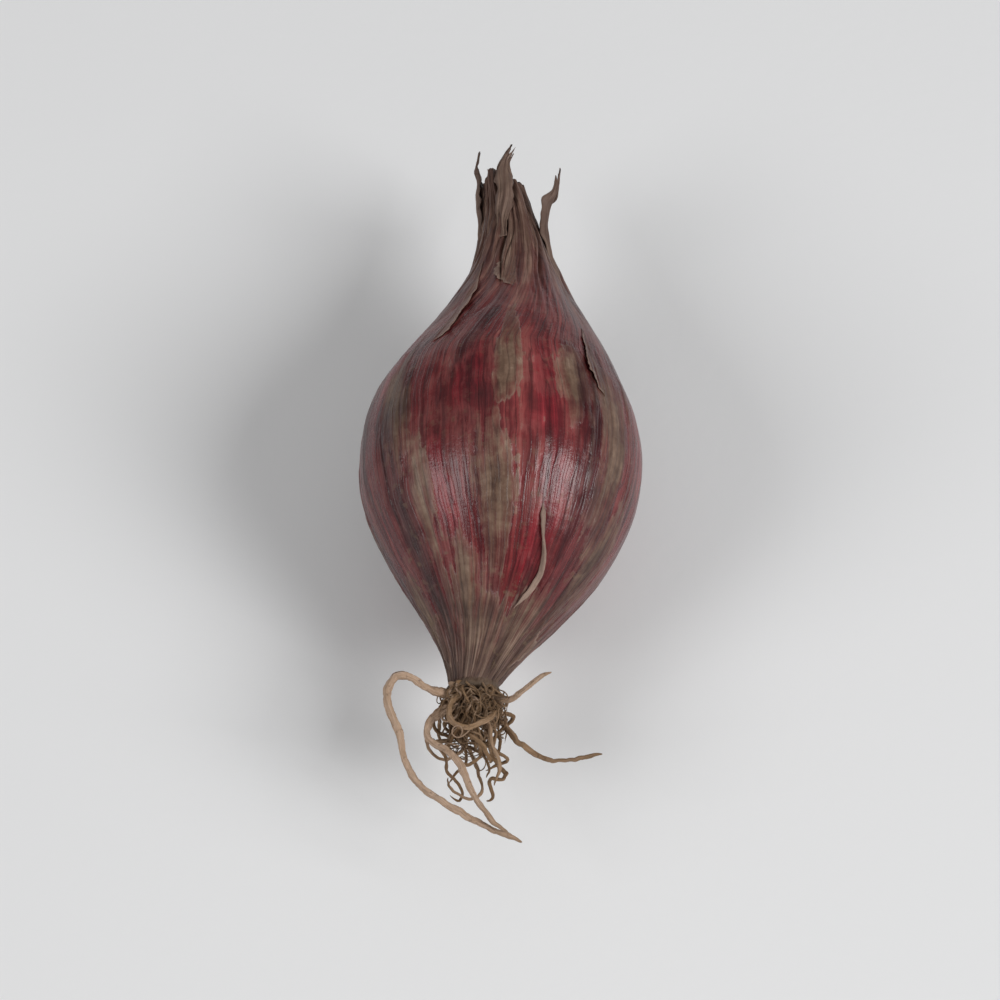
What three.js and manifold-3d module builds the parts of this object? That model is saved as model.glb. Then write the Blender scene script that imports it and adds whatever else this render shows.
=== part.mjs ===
// A small red onion (planting-set size), lying on its side.
// Frame: +X to the right, +Y from the roots to the neck, +Z up, millimetres.
// The origin is the middle of the footprint, on the surface that the onion rests on.
// The bulb has a small flat spot on its belly, on which it rests with its neck a little raised.

import * as THREE from "three";
import * as BufferGeometryUtils from "three/addons/utils/BufferGeometryUtils.js";
import Module from "manifold-3d";

// ---------------------------------------------------------------- driving dimensions

const PROFILE_STEP = 1.5; // distance along the axis between two radii of the profile
const PROFILE_RADII = [
  1.55, 2.34, 3.24, 4.25, 5.33, 6.4, 7.42, 8.33, 9.1, 9.74, 10.21, 10.5, 10.6, 10.53, 10.29, 9.91, 9.35, 8.61,
  7.73, 6.77, 5.82, 4.94, 4.17, 3.53, 3.0, 2.56, 2.2, 1.92, 1.73,
]; // radius of the bulb from the root plate to the top of the neck
const BULB_LENGTH = 43.2; // root plate to neck tip, along the axis
const NECK_TIP_RADIUS = 1.6;
const ROOT_PLATE_RADIUS = 1.95; // the small corky disc that the roots grow from
const ROOT_PLATE_HEIGHT = 0.4; // how far the disc stands proud of the body

const AXIS_TILT = THREE.MathUtils.degToRad(4); // neck end raised by this much
const AXIS_HEIGHT = 8.62; // height of the axis at the root plate
const REST_PLANE = 0; // height of the surface

const OVAL = 0.018; // two-sided flattening of the cross-section
const OVAL_TURN = 0.5;
const TRIANGLE = 0.008; // slight three-sided lobing
const TRIANGLE_TURN = 1.3;
const NECK_FOLDS = 0.085; // depth of the folds of the dried neck, as a share of its radius

const ROOT_BEND = 2.15; // how far the root plate stands off the axis, to the left
const ROOT_BEND_LENGTH = 12;
const NECK_BEND = 1.0; // how far the shoulder leans to the right
const NECK_DROOP = 1.2; // how far the neck tip hangs below the axis

const RINGS_AROUND = 40; // facets around the bulb
const RING_SPACING = 1.2; // facets along it
const ROOT_SIDES = 5;
const ROOT_STEP = 0.85;

const ORIGIN_X = -0.06; // middle of the footprint in the building frame
const ORIGIN_Y = 16.519;

// The dried roots. Each point is [right, outwards from the root plate, up], in the frame of the plate.
const ROOTS = [
  { name: "root_01", diameter: 0.55, points: [[-1.35, 0.52, 1.1], [-2.05, 0.65, 1.34], [-2.66, 0.66, 1.75], [-3.2, 0.58, 2.23], [-3.73, 0.4, 2.72], [-4.35, 0.14, 3.1], [-5, -0.06, 3.3], [-5.65, 0.02, 3.3], [-6.12, 0.72, 3.1], [-6.18, 1.75, 2.8], [-5.72, 2.95, 2.5], [-5.2, 4.3, 2.2], [-4.9, 5.8, 1.9], [-4.25, 7.25, 1.7], [-3.05, 8.45, 1.5], [-1.63, 9.36, 1.4], [-0.15, 10.25, 1.3], [1.33, 10.95, 1.1], [2.6, 11.45, 0.85], [3.7, 11.88, 0.6]] },
  { name: "root_02", diameter: 0.5, points: [[-1, 0.8, 0.3], [-1.6, 1.39, 0.59], [-2.38, 2, 0.89], [-3.05, 2.75, 1.15], [-3.3, 3.7, 1.35], [-2.85, 4.52, 1.5], [-1.93, 5.14, 1.75], [-1.07, 6.01, 1.95], [-0.44, 7.28, 2.05], [0.11, 8.6, 2], [0.85, 9.86, 1.9], [1.74, 10.87, 1.8], [2.7, 11.45, 1.65]] },
  { name: "root_03", diameter: 0.45, points: [[1.45, 0.56, 0.8], [2.04, 1.07, 1.18], [2.66, 1.22, 1.64], [3.28, 1.09, 2.13], [3.9, 0.78, 2.6], [4.5, 0.38, 2.99], [5.15, -0.03, 3.24], [5.9, -0.34, 3.3]] },
  { name: "root_04", diameter: 0.38, points: [[1.3, 0.81, -0.4], [1.8, 1.65, -0.41], [2.32, 2.44, -0.25], [2.87, 3.21, -0.04], [3.48, 3.95, 0.14], [4.17, 4.63, 0.24], [4.97, 5.16, 0.34], [5.87, 5.49, 0.5], [6.8, 5.62, 0.74], [7.73, 5.6, 1.02], [8.66, 5.5, 1.29], [9.6, 5.42, 1.5]] },
  { name: "root_05", diameter: 0.42, points: [[-0.82, 0.79, 1.6], [-1.34, 1.34, 1.95], [-1.63, 2.2, 2.26], [-1.54, 3.05, 2.53], [-0.93, 3.61, 2.73], [-0.03, 3.73, 2.8], [0.78, 3.41, 2.7], [1.44, 2.83, 2.45], [1.9, 2.2, 2.1]] },
  { name: "root_06", diameter: 0.42, points: [[0.75, 0.87, 0.9], [1.03, 1.78, 1.26], [1.2, 2.75, 1.6], [1.35, 3.75, 1.85], [1.55, 4.76, 1.91], [1.85, 5.73, 1.73], [2.01, 6.67, 1.39], [1.7, 7.59, 1]] },
  { name: "root_07", diameter: 0.35, points: [[-1.23, 0.5, -0.45], [-1.69, 1.41, -0.56], [-1.72, 2.41, -0.52], [-1.16, 3.19, -0.25], [-0.18, 3.23, -0.23], [0.16, 2.75, -0.99], [-0.07, 2.8, -1.97], [0.39, 3.25, -2.63], [1.01, 2.66, -2.66], [0.47, 2.12, -3.26], [-0.11, 2.61, -3.86]] },
  { name: "root_08", diameter: 0.41, points: [[0.02, 0.62, -0.09], [-0.65, 1.28, -0.33], [-1.16, 1.77, 0.29], [-0.69, 1.86, 1.06], [0.2, 1.98, 0.85], [0.45, 2.67, 0.29], [-0.15, 3.37, 0.47], [-0.47, 3.69, 1.32], [-0.13, 4.05, 2.14], [0.57, 4.68, 2.32], [1.09, 5.46, 2.01], [1.42, 5.85, 1.22], [1.34, 5.34, 0.42]] },
  { name: "root_09", diameter: 0.33, points: [[-0.26, 0.5, 1.46], [-0.29, 1.46, 1.78], [-0.41, 2.44, 1.63], [-0.89, 3.27, 1.33], [-1.46, 4.04, 1.01], [-1.83, 4.86, 0.54], [-1.89, 5.59, -0.14], [-1.71, 6.02, -1.04], [-1.22, 6.28, -1.87], [-0.75, 7.04, -2.23], [-0.98, 7.87, -1.83], [-1.6, 7.77, -1.06]] },
  { name: "root_10", diameter: 0.35, points: [[0.32, 0.5, -1.55], [0.12, 1.06, -2.32], [-0.12, 1.66, -3.05], [-0.83, 2.25, -3.1], [-0.73, 3.04, -2.68], [0.11, 3.47, -2.9], [0.93, 3.97, -3.04], [1.29, 4.85, -2.99], [1.09, 5.76, -2.74]] },
  { name: "root_11", diameter: 0.33, points: [[-1, 0.5, -1.16], [-1.42, 1.38, -1.48], [-2.07, 1.77, -2.12], [-1.77, 1.93, -3.05], [-1.05, 2.45, -3.57], [-0.49, 3.22, -3.93], [-0.52, 4.24, -4.02], [-1.05, 5.07, -3.73], [-1.76, 5.82, -3.7]] },
  { name: "root_12", diameter: 0.31, points: [[-0.04, 0.62, -1.15], [-0.2, 1.55, -1.4], [-0.49, 2.41, -1.76], [-0.47, 3.23, -2.26], [-0.03, 3.99, -2.7], [0.31, 4.87, -2.86], [0.46, 5.77, -2.52], [0.74, 6.61, -2.1], [0.62, 7.46, -1.68], [-0.14, 7.9, -1.34], [-1.03, 7.68, -1.02], [-1.6, 7.2, -0.42], [-1.76, 6.91, 0.49]] },
  { name: "root_13", diameter: 0.34, points: [[0.3, 0.62, -0.45], [0.36, 1.42, -0.88], [0.84, 1.85, -1.55], [1.56, 2.2, -2.01], [2.09, 2.87, -2.32], [1.94, 3.73, -2.58], [1.58, 4.35, -2.05], [1.16, 4.08, -1.33]] },
  { name: "root_14", diameter: 0.33, points: [[0.74, 0.62, -0.18], [0.45, 1.6, -0.3], [-0.08, 2.4, -0.69], [-0.85, 2.9, -1.14], [-1.84, 2.94, -1.41], [-2.68, 2.43, -1.24], [-2.81, 1.49, -1.51], [-2.53, 1.12, -2.41], [-2.43, 1.68, -3.19], [-2.3, 2.68, -3.45], [-1.85, 3.59, -3.47], [-1.08, 4.2, -3.14]] },
  { name: "root_15", diameter: 0.39, points: [[0.6, 0.62, -0.79], [1.09, 1.5, -0.79], [1.26, 2.47, -0.53], [1.32, 3.49, -0.52], [1.46, 4.38, -1], [1.93, 5.09, -1.53], [2.57, 5.85, -1.44], [2.34, 6.51, -0.79], [1.45, 6.48, -0.84], [1.35, 6.68, -1.78], [1.54, 7.57, -1.88], [1.13, 8.12, -1.16]] },
  { name: "root_16", diameter: 0.36, points: [[-1.56, 0.5, 0.26], [-2.19, 1.31, 0.36], [-2.85, 2.09, 0.31], [-3.16, 3.04, 0.07], [-3.23, 4.04, -0.16], [-2.74, 4.82, -0.58], [-1.82, 5.14, -0.53], [-0.96, 4.8, -0.08], [-0.33, 4.07, -0.2], [-0.58, 3.52, -0.96]] },
  { name: "root_17", diameter: 0.33, points: [[0.85, 0.62, 0.25], [1.19, 1.5, 0.67], [1.55, 2.46, 0.71], [1.74, 3.42, 0.39], [1.59, 4.42, 0.49], [2.21, 5.15, 0.63], [2.67, 5.33, -0.16], [1.91, 5.53, -0.72], [1.1, 6.05, -0.4]] },
  { name: "root_18", diameter: 0.38, points: [[0.77, 0.5, -1.26], [1.42, 0.92, -1.89], [2.32, 0.82, -2.36], [3.03, 0.84, -3.02], [2.61, 1.39, -3.68], [1.85, 2.06, -3.66], [1.36, 2.92, -3.45], [1.49, 3.88, -3.27], [2.34, 4.34, -3.18]] },
  { name: "root_19", diameter: 0.36, points: [[-0.56, 0.62, -0.84], [-0.85, 1.48, -1.27], [-1.32, 2.25, -1.71], [-1.8, 3.08, -1.82], [-2.72, 3.21, -1.69], [-2.94, 2.92, -2.49], [-2.32, 3.42, -3], [-1.9, 4.27, -2.72], [-1.92, 5.24, -2.68]] },
  { name: "root_20", diameter: 0.31, points: [[0.86, 0.5, 1.35], [0.77, 1.46, 1.55], [0.16, 2.23, 1.64], [0.14, 3.05, 2.16], [0.56, 3.95, 2.07], [0.77, 4.79, 1.53], [0.49, 5.72, 1.29], [-0.35, 6.21, 1.4], [-1.2, 5.78, 1.4], [-1.28, 4.9, 0.94]] },
];

// The dried leaf ends at the neck tip. Each point is [right, along the axis from the root plate, up from the axis].
const NECK_SHREDS = [
  { name: "neck_shred_01", width: 1.7, thickness: 0.2, turn: 1.57, points: [[3.68, 37.8, -0.3], [3.62, 39.0, -0.25], [3.85, 40.3, -0.05], [4.35, 41.5, 0.2], [4.55, 42.9, 0.3]] },
  { name: "neck_shred_02", width: 1.3, thickness: 0.2, turn: 0.0, points: [[-1.85, 40.4, -0.8], [-1.9, 41.6, -0.85], [-1.85, 42.8, -0.9], [-1.95, 43.9, -0.8], [-1.75, 44.9, -0.6]] },
  { name: "neck_shred_03", width: 1.4, thickness: 0.2, turn: 0.0, points: [[0.3, 40.6, 1.62], [0.3, 41.8, 1.4], [0.25, 43.0, 1.05], [0.5, 44.1, 0.8], [1.0, 45.0, 0.9]] },
];

// ---------------------------------------------------------------- colours

const SKIN = new THREE.MeshStandardMaterial({ color: 0x66343a, roughness: 0.42, metalness: 0 });
const ROOT = new THREE.MeshStandardMaterial({ color: 0x8a6748, roughness: 0.85, metalness: 0 });
const PAPER = new THREE.MeshStandardMaterial({ color: 0x8a6a55, roughness: 0.7, metalness: 0 });

// ---------------------------------------------------------------- the axis and the cross-section

// Radius at a distance s from the root plate, by cubic Hermite pieces through the profile.
function radiusAt(s) {
  const last = PROFILE_RADII.length - 1;
  const at = (i) => (i > last ? NECK_TIP_RADIUS : PROFILE_RADII[Math.max(0, i)]);
  const t = Math.max(0, s / PROFILE_STEP);
  const i = Math.min(Math.floor(t), last);
  const u = Math.min(t - i, 1);
  const slope = (k) => (at(k + 1) - at(Math.max(0, k - 1))) / (k > 0 ? 2 : 1);
  const [a, b, ma, mb] = [at(i), at(i + 1), slope(i), slope(i + 1)];
  const u2 = u * u;
  const u3 = u2 * u;
  return (2 * u3 - 3 * u2 + 1) * a + (u3 - 2 * u2 + u) * ma + (-2 * u3 + 3 * u2) * b + (u3 - u2) * mb;
}

const clamp01 = (t) => Math.min(1, Math.max(0, t));
const smooth = (t) => clamp01(t) * clamp01(t) * (3 - 2 * clamp01(t));

// How the cross-section differs from a circle: oval and lobed in the body, folded in the neck.
function crossSection(s, angle) {
  const body = smooth((s - 1) / 7) * (1 - smooth((s - 26) / 10));
  const neck = smooth((s - 27) / 8);
  return (
    1 +
    body * OVAL * Math.cos(2 * (angle - OVAL_TURN)) +
    body * TRIANGLE * Math.cos(3 * (angle - TRIANGLE_TURN)) +
    neck * NECK_FOLDS * Math.cos(5 * angle + 0.12 * (s - 27)) * (0.75 + 0.25 * Math.cos(angle + 1))
  );
}

// Sideways and upward offset of the axis.
function bendRight(s) {
  const root = s < ROOT_BEND_LENGTH ? -ROOT_BEND * (1 - s / ROOT_BEND_LENGTH) ** 2 : 0;
  const shoulder = s > 24 ? NECK_BEND * Math.sin(Math.PI * clamp01((s - 24) / 20)) ** 1.3 : 0;
  return root + shoulder;
}
const bendUp = (s) => (s > 28 ? -NECK_DROOP * ((s - 28) / (BULB_LENGTH - 28)) ** 2 : 0);

// A point given as right, along the axis from the root plate, and up from the axis, in the building frame.
function place(right, along, up) {
  const c = Math.cos(AXIS_TILT);
  const n = Math.sin(AXIS_TILT);
  return new THREE.Vector3(right, along * c - up * n, AXIS_HEIGHT + along * n + up * c);
}

// ---------------------------------------------------------------- solids

const wasm = await Module();
wasm.setup();

function merged(geometry) {
  const bare = geometry.clone();
  bare.deleteAttribute("normal");
  bare.deleteAttribute("uv");
  return BufferGeometryUtils.mergeVertices(bare, 1e-5);
}

function solidOf(geometry) {
  const closed = merged(geometry);
  return new wasm.Manifold(
    new wasm.Mesh({
      numProp: 3,
      vertProperties: new Float32Array(closed.attributes.position.array),
      triVerts: new Uint32Array(closed.index.array),
    }),
  );
}

function geometryOf(solid) {
  const mesh = solid.getMesh();
  const geometry = new THREE.BufferGeometry();
  const places = new Float32Array(mesh.numVert * 3);
  for (let i = 0; i < mesh.numVert; i += 1) {
    for (let k = 0; k < 3; k += 1) places[3 * i + k] = mesh.vertProperties[i * mesh.numProp + k];
  }
  geometry.setAttribute("position", new THREE.BufferAttribute(places, 3));
  geometry.setIndex(new THREE.BufferAttribute(new Uint32Array(mesh.triVerts), 1));
  return geometry;
}

function signedVolume(geometry) {
  const p = geometry.attributes.position;
  const index = geometry.index;
  const [a, b, c] = [new THREE.Vector3(), new THREE.Vector3(), new THREE.Vector3()];
  let volume = 0;
  for (let i = 0; i < index.count; i += 3) {
    a.fromBufferAttribute(p, index.getX(i));
    b.fromBufferAttribute(p, index.getX(i + 1));
    c.fromBufferAttribute(p, index.getX(i + 2));
    volume += a.dot(b.cross(c)) / 6;
  }
  return volume;
}

// Turns a closed geometry inside out where its faces point inwards.
function facingOut(geometry) {
  const closed = merged(geometry);
  if (signedVolume(closed) < 0) {
    const index = closed.index;
    for (let i = 0; i < index.count; i += 3) {
      const held = index.getX(i);
      index.setX(i, index.getX(i + 1));
      index.setX(i + 1, held);
    }
  }
  return closed;
}

function withNormals(geometry) {
  geometry.computeVertexNormals();
  return geometry;
}

// The bulb: a lathe of the profile, bent and lobed, then cut flat where it rests.
function bulbGeometry() {
  const profile = [
    new THREE.Vector2(0, -ROOT_PLATE_HEIGHT),
    new THREE.Vector2(ROOT_PLATE_RADIUS * 0.62, -ROOT_PLATE_HEIGHT * 0.9),
    new THREE.Vector2(ROOT_PLATE_RADIUS * 0.93, -ROOT_PLATE_HEIGHT * 0.45),
    new THREE.Vector2(ROOT_PLATE_RADIUS, 0.3),
  ];
  for (let s = 0.9; s < BULB_LENGTH - 0.9; s += RING_SPACING) profile.push(new THREE.Vector2(radiusAt(s), s));
  profile.push(new THREE.Vector2(NECK_TIP_RADIUS, BULB_LENGTH - 0.5));
  profile.push(new THREE.Vector2(NECK_TIP_RADIUS * 0.72, BULB_LENGTH - 0.1));
  profile.push(new THREE.Vector2(0, BULB_LENGTH));
  const lathe = merged(new THREE.LatheGeometry(profile, RINGS_AROUND));
  const p = lathe.attributes.position;
  for (let i = 0; i < p.count; i += 1) {
    const s = p.getY(i);
    const radius = Math.hypot(p.getX(i), p.getZ(i));
    const angle = Math.atan2(p.getZ(i), p.getX(i));
    const r = radius < 1e-6 ? 0 : radius * crossSection(s, angle);
    const at = place(bendRight(s) + r * Math.cos(angle), s, bendUp(s) + r * Math.sin(angle));
    p.setXYZ(i, at.x, at.y, at.z);
  }
  const whole = solidOf(facingOut(lathe));
  const below = new THREE.BoxGeometry(80, 120, 20);
  below.translate(0, 20, REST_PLANE - 10);
  return withNormals(geometryOf(whole.subtract(solidOf(below))));
}

function regularSection(radius, sides) {
  const shape = new THREE.Shape();
  for (let i = 0; i < sides; i += 1) {
    const t = (2 * Math.PI * i) / sides;
    if (i === 0) shape.moveTo(radius * Math.cos(t), radius * Math.sin(t));
    else shape.lineTo(radius * Math.cos(t), radius * Math.sin(t));
  }
  shape.closePath();
  return shape;
}

function rootGeometry(root) {
  const points = root.points.map(([right, out, up]) => place(bendRight(0) + right, -out, bendUp(0) + up));
  const path = new THREE.CatmullRomCurve3(points, false, "centripetal");
  const steps = Math.max(6, Math.round(path.getLength() / ROOT_STEP));
  const tube = new THREE.ExtrudeGeometry(regularSection(root.diameter / 2, ROOT_SIDES), {
    steps,
    bevelEnabled: false,
    extrudePath: path,
  });
  return withNormals(facingOut(tube));
}

// A shred of dried leaf: a thin strip with one face bowed, swept along its own path.
function shredGeometry(shred) {
  const points = shred.points.map(([right, along, up]) => place(right, along, up));
  const path = new THREE.CatmullRomCurve3(points, false, "centripetal");
  const [w, t] = [shred.width / 2, shred.thickness / 2];
  const outline = [
    [-w, -t],
    [0, -t - 0.12],
    [w, -t],
    [w, t],
    [0, t - 0.12],
    [-w, t],
  ].map(([x, y]) => new THREE.Vector2(x, y).rotateAround(new THREE.Vector2(), shred.turn));
  const strip = new THREE.ExtrudeGeometry(new THREE.Shape(outline), { steps: 7, bevelEnabled: false, extrudePath: path });
  return withNormals(facingOut(strip));
}

// ---------------------------------------------------------------- the onion

const onion = new THREE.Group();
onion.position.set(-ORIGIN_X, -ORIGIN_Y, 0);

function add(name, geometry, material) {
  const mesh = new THREE.Mesh(geometry, material);
  mesh.name = name;
  onion.add(mesh);
}

add("bulb", bulbGeometry(), SKIN);
for (const root of ROOTS) add(root.name, rootGeometry(root), ROOT);
for (const shred of NECK_SHREDS) add(shred.name, shredGeometry(shred), PAPER);

const part = new THREE.Group();
part.add(onion);
part.updateMatrixWorld(true);

export default part;
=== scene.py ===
"""A small red onion (planting-set size) lying on its side, on a plain pale floor."""

import math

import bpy
import numpy as np
from mathutils import Matrix, Vector


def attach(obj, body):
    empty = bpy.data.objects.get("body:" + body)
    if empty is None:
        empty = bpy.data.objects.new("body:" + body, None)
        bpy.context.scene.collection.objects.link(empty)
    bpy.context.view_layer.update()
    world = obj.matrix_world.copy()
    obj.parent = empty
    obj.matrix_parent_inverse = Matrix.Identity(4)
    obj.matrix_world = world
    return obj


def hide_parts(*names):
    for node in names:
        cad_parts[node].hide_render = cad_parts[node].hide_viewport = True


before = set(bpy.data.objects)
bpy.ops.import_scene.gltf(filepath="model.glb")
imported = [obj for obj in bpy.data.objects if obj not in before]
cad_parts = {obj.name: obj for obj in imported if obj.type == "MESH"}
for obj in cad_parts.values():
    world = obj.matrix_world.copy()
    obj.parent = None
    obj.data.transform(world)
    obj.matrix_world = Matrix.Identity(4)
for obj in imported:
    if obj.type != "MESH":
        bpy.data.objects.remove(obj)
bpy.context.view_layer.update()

MM = 0.001

# ------------------------------------------------------------------ the bulb's form, as in the CAD model (mm)

PROFILE_STEP = 1.5
PROFILE = np.array(
    [1.55, 2.34, 3.24, 4.25, 5.33, 6.4, 7.42, 8.33, 9.1, 9.74, 10.21, 10.5, 10.6, 10.53, 10.29, 9.91, 9.35, 8.61,
     7.73, 6.77, 5.82, 4.94, 4.17, 3.53, 3.0, 2.56, 2.2, 1.92, 1.73, 1.6, 1.6, 1.6]
)
LENGTH = 43.2
PLATE_R = 1.95
PLATE_H = 0.4
TILT = math.radians(4)
AXIS_Z = 8.62
ORIGIN = np.array([-0.06, 16.519, 0.0])

ROOTS = [
    ("root_01", 0.55, [(-1.35, 0.52, 1.1), (-2.05, 0.65, 1.34), (-2.66, 0.66, 1.75), (-3.2, 0.58, 2.23), (-3.73, 0.4, 2.72), (-4.35, 0.14, 3.1), (-5, -0.06, 3.3), (-5.65, 0.02, 3.3), (-6.12, 0.72, 3.1), (-6.18, 1.75, 2.8), (-5.72, 2.95, 2.5), (-5.2, 4.3, 2.2), (-4.9, 5.8, 1.9), (-4.25, 7.25, 1.7), (-3.05, 8.45, 1.5), (-1.63, 9.36, 1.4), (-0.15, 10.25, 1.3), (1.33, 10.95, 1.1), (2.6, 11.45, 0.85), (3.7, 11.88, 0.6)]),
    ("root_02", 0.5, [(-1, 0.8, 0.3), (-1.6, 1.39, 0.59), (-2.38, 2, 0.89), (-3.05, 2.75, 1.15), (-3.3, 3.7, 1.35), (-2.85, 4.52, 1.5), (-1.93, 5.14, 1.75), (-1.07, 6.01, 1.95), (-0.44, 7.28, 2.05), (0.11, 8.6, 2), (0.85, 9.86, 1.9), (1.74, 10.87, 1.8), (2.7, 11.45, 1.65)]),
    ("root_03", 0.45, [(1.45, 0.56, 0.8), (2.04, 1.07, 1.18), (2.66, 1.22, 1.64), (3.28, 1.09, 2.13), (3.9, 0.78, 2.6), (4.5, 0.38, 2.99), (5.15, -0.03, 3.24), (5.9, -0.34, 3.3)]),
    ("root_04", 0.38, [(1.3, 0.81, -0.4), (1.8, 1.65, -0.41), (2.32, 2.44, -0.25), (2.87, 3.21, -0.04), (3.48, 3.95, 0.14), (4.17, 4.63, 0.24), (4.97, 5.16, 0.34), (5.87, 5.49, 0.5), (6.8, 5.62, 0.74), (7.73, 5.6, 1.02), (8.66, 5.5, 1.29), (9.6, 5.42, 1.5)]),
    ("root_05", 0.42, [(-0.82, 0.79, 1.6), (-1.34, 1.34, 1.95), (-1.63, 2.2, 2.26), (-1.54, 3.05, 2.53), (-0.93, 3.61, 2.73), (-0.03, 3.73, 2.8), (0.78, 3.41, 2.7), (1.44, 2.83, 2.45), (1.9, 2.2, 2.1)]),
    ("root_06", 0.42, [(0.75, 0.87, 0.9), (1.03, 1.78, 1.26), (1.2, 2.75, 1.6), (1.35, 3.75, 1.85), (1.55, 4.76, 1.91), (1.85, 5.73, 1.73), (2.01, 6.67, 1.39), (1.7, 7.59, 1)]),
    ("root_07", 0.35, [(-1.23, 0.5, -0.45), (-1.69, 1.41, -0.56), (-1.72, 2.41, -0.52), (-1.16, 3.19, -0.25), (-0.18, 3.23, -0.23), (0.16, 2.75, -0.99), (-0.07, 2.8, -1.97), (0.39, 3.25, -2.63), (1.01, 2.66, -2.66), (0.47, 2.12, -3.26), (-0.11, 2.61, -3.86)]),
    ("root_08", 0.41, [(0.02, 0.62, -0.09), (-0.65, 1.28, -0.33), (-1.16, 1.77, 0.29), (-0.69, 1.86, 1.06), (0.2, 1.98, 0.85), (0.45, 2.67, 0.29), (-0.15, 3.37, 0.47), (-0.47, 3.69, 1.32), (-0.13, 4.05, 2.14), (0.57, 4.68, 2.32), (1.09, 5.46, 2.01), (1.42, 5.85, 1.22), (1.34, 5.34, 0.42)]),
    ("root_09", 0.33, [(-0.26, 0.5, 1.46), (-0.29, 1.46, 1.78), (-0.41, 2.44, 1.63), (-0.89, 3.27, 1.33), (-1.46, 4.04, 1.01), (-1.83, 4.86, 0.54), (-1.89, 5.59, -0.14), (-1.71, 6.02, -1.04), (-1.22, 6.28, -1.87), (-0.75, 7.04, -2.23), (-0.98, 7.87, -1.83), (-1.6, 7.77, -1.06)]),
    ("root_10", 0.35, [(0.32, 0.5, -1.55), (0.12, 1.06, -2.32), (-0.12, 1.66, -3.05), (-0.83, 2.25, -3.1), (-0.73, 3.04, -2.68), (0.11, 3.47, -2.9), (0.93, 3.97, -3.04), (1.29, 4.85, -2.99), (1.09, 5.76, -2.74)]),
    ("root_11", 0.33, [(-1, 0.5, -1.16), (-1.42, 1.38, -1.48), (-2.07, 1.77, -2.12), (-1.77, 1.93, -3.05), (-1.05, 2.45, -3.57), (-0.49, 3.22, -3.93), (-0.52, 4.24, -4.02), (-1.05, 5.07, -3.73), (-1.76, 5.82, -3.7)]),
    ("root_12", 0.31, [(-0.04, 0.62, -1.15), (-0.2, 1.55, -1.4), (-0.49, 2.41, -1.76), (-0.47, 3.23, -2.26), (-0.03, 3.99, -2.7), (0.31, 4.87, -2.86), (0.46, 5.77, -2.52), (0.74, 6.61, -2.1), (0.62, 7.46, -1.68), (-0.14, 7.9, -1.34), (-1.03, 7.68, -1.02), (-1.6, 7.2, -0.42), (-1.76, 6.91, 0.49)]),
    ("root_13", 0.34, [(0.3, 0.62, -0.45), (0.36, 1.42, -0.88), (0.84, 1.85, -1.55), (1.56, 2.2, -2.01), (2.09, 2.87, -2.32), (1.94, 3.73, -2.58), (1.58, 4.35, -2.05), (1.16, 4.08, -1.33)]),
    ("root_14", 0.33, [(0.74, 0.62, -0.18), (0.45, 1.6, -0.3), (-0.08, 2.4, -0.69), (-0.85, 2.9, -1.14), (-1.84, 2.94, -1.41), (-2.68, 2.43, -1.24), (-2.81, 1.49, -1.51), (-2.53, 1.12, -2.41), (-2.43, 1.68, -3.19), (-2.3, 2.68, -3.45), (-1.85, 3.59, -3.47), (-1.08, 4.2, -3.14)]),
    ("root_15", 0.39, [(0.6, 0.62, -0.79), (1.09, 1.5, -0.79), (1.26, 2.47, -0.53), (1.32, 3.49, -0.52), (1.46, 4.38, -1), (1.93, 5.09, -1.53), (2.57, 5.85, -1.44), (2.34, 6.51, -0.79), (1.45, 6.48, -0.84), (1.35, 6.68, -1.78), (1.54, 7.57, -1.88), (1.13, 8.12, -1.16)]),
    ("root_16", 0.36, [(-1.56, 0.5, 0.26), (-2.19, 1.31, 0.36), (-2.85, 2.09, 0.31), (-3.16, 3.04, 0.07), (-3.23, 4.04, -0.16), (-2.74, 4.82, -0.58), (-1.82, 5.14, -0.53), (-0.96, 4.8, -0.08), (-0.33, 4.07, -0.2), (-0.58, 3.52, -0.96)]),
    ("root_17", 0.33, [(0.85, 0.62, 0.25), (1.19, 1.5, 0.67), (1.55, 2.46, 0.71), (1.74, 3.42, 0.39), (1.59, 4.42, 0.49), (2.21, 5.15, 0.63), (2.67, 5.33, -0.16), (1.91, 5.53, -0.72), (1.1, 6.05, -0.4)]),
    ("root_18", 0.38, [(0.77, 0.5, -1.26), (1.42, 0.92, -1.89), (2.32, 0.82, -2.36), (3.03, 0.84, -3.02), (2.61, 1.39, -3.68), (1.85, 2.06, -3.66), (1.36, 2.92, -3.45), (1.49, 3.88, -3.27), (2.34, 4.34, -3.18)]),
    ("root_19", 0.36, [(-0.56, 0.62, -0.84), (-0.85, 1.48, -1.27), (-1.32, 2.25, -1.71), (-1.8, 3.08, -1.82), (-2.72, 3.21, -1.69), (-2.94, 2.92, -2.49), (-2.32, 3.42, -3), (-1.9, 4.27, -2.72), (-1.92, 5.24, -2.68)]),
    ("root_20", 0.31, [(0.86, 0.5, 1.35), (0.77, 1.46, 1.55), (0.16, 2.23, 1.64), (0.14, 3.05, 2.16), (0.56, 3.95, 2.07), (0.77, 4.79, 1.53), (0.49, 5.72, 1.29), (-0.35, 6.21, 1.4), (-1.2, 5.78, 1.4), (-1.28, 4.9, 0.94)]),
]

SHREDS = [
    ("neck_shred_01", 1.7, 0, [(3.68, 37.8, -0.3), (3.62, 39.0, -0.25), (3.85, 40.3, -0.05), (4.35, 41.5, 0.2), (4.55, 42.9, 0.3)]),
    ("neck_shred_02", 1.3, 1, [(-1.85, 40.4, -0.8), (-1.9, 41.6, -0.85), (-1.85, 42.8, -0.9), (-1.95, 43.9, -0.8), (-1.75, 44.9, -0.6)]),
    ("neck_shred_03", 1.4, 2, [(0.3, 40.6, 1.62), (0.3, 41.8, 1.4), (0.25, 43.0, 1.05), (0.5, 44.1, 0.8), (1.0, 45.0, 0.9)]),
]


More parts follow.
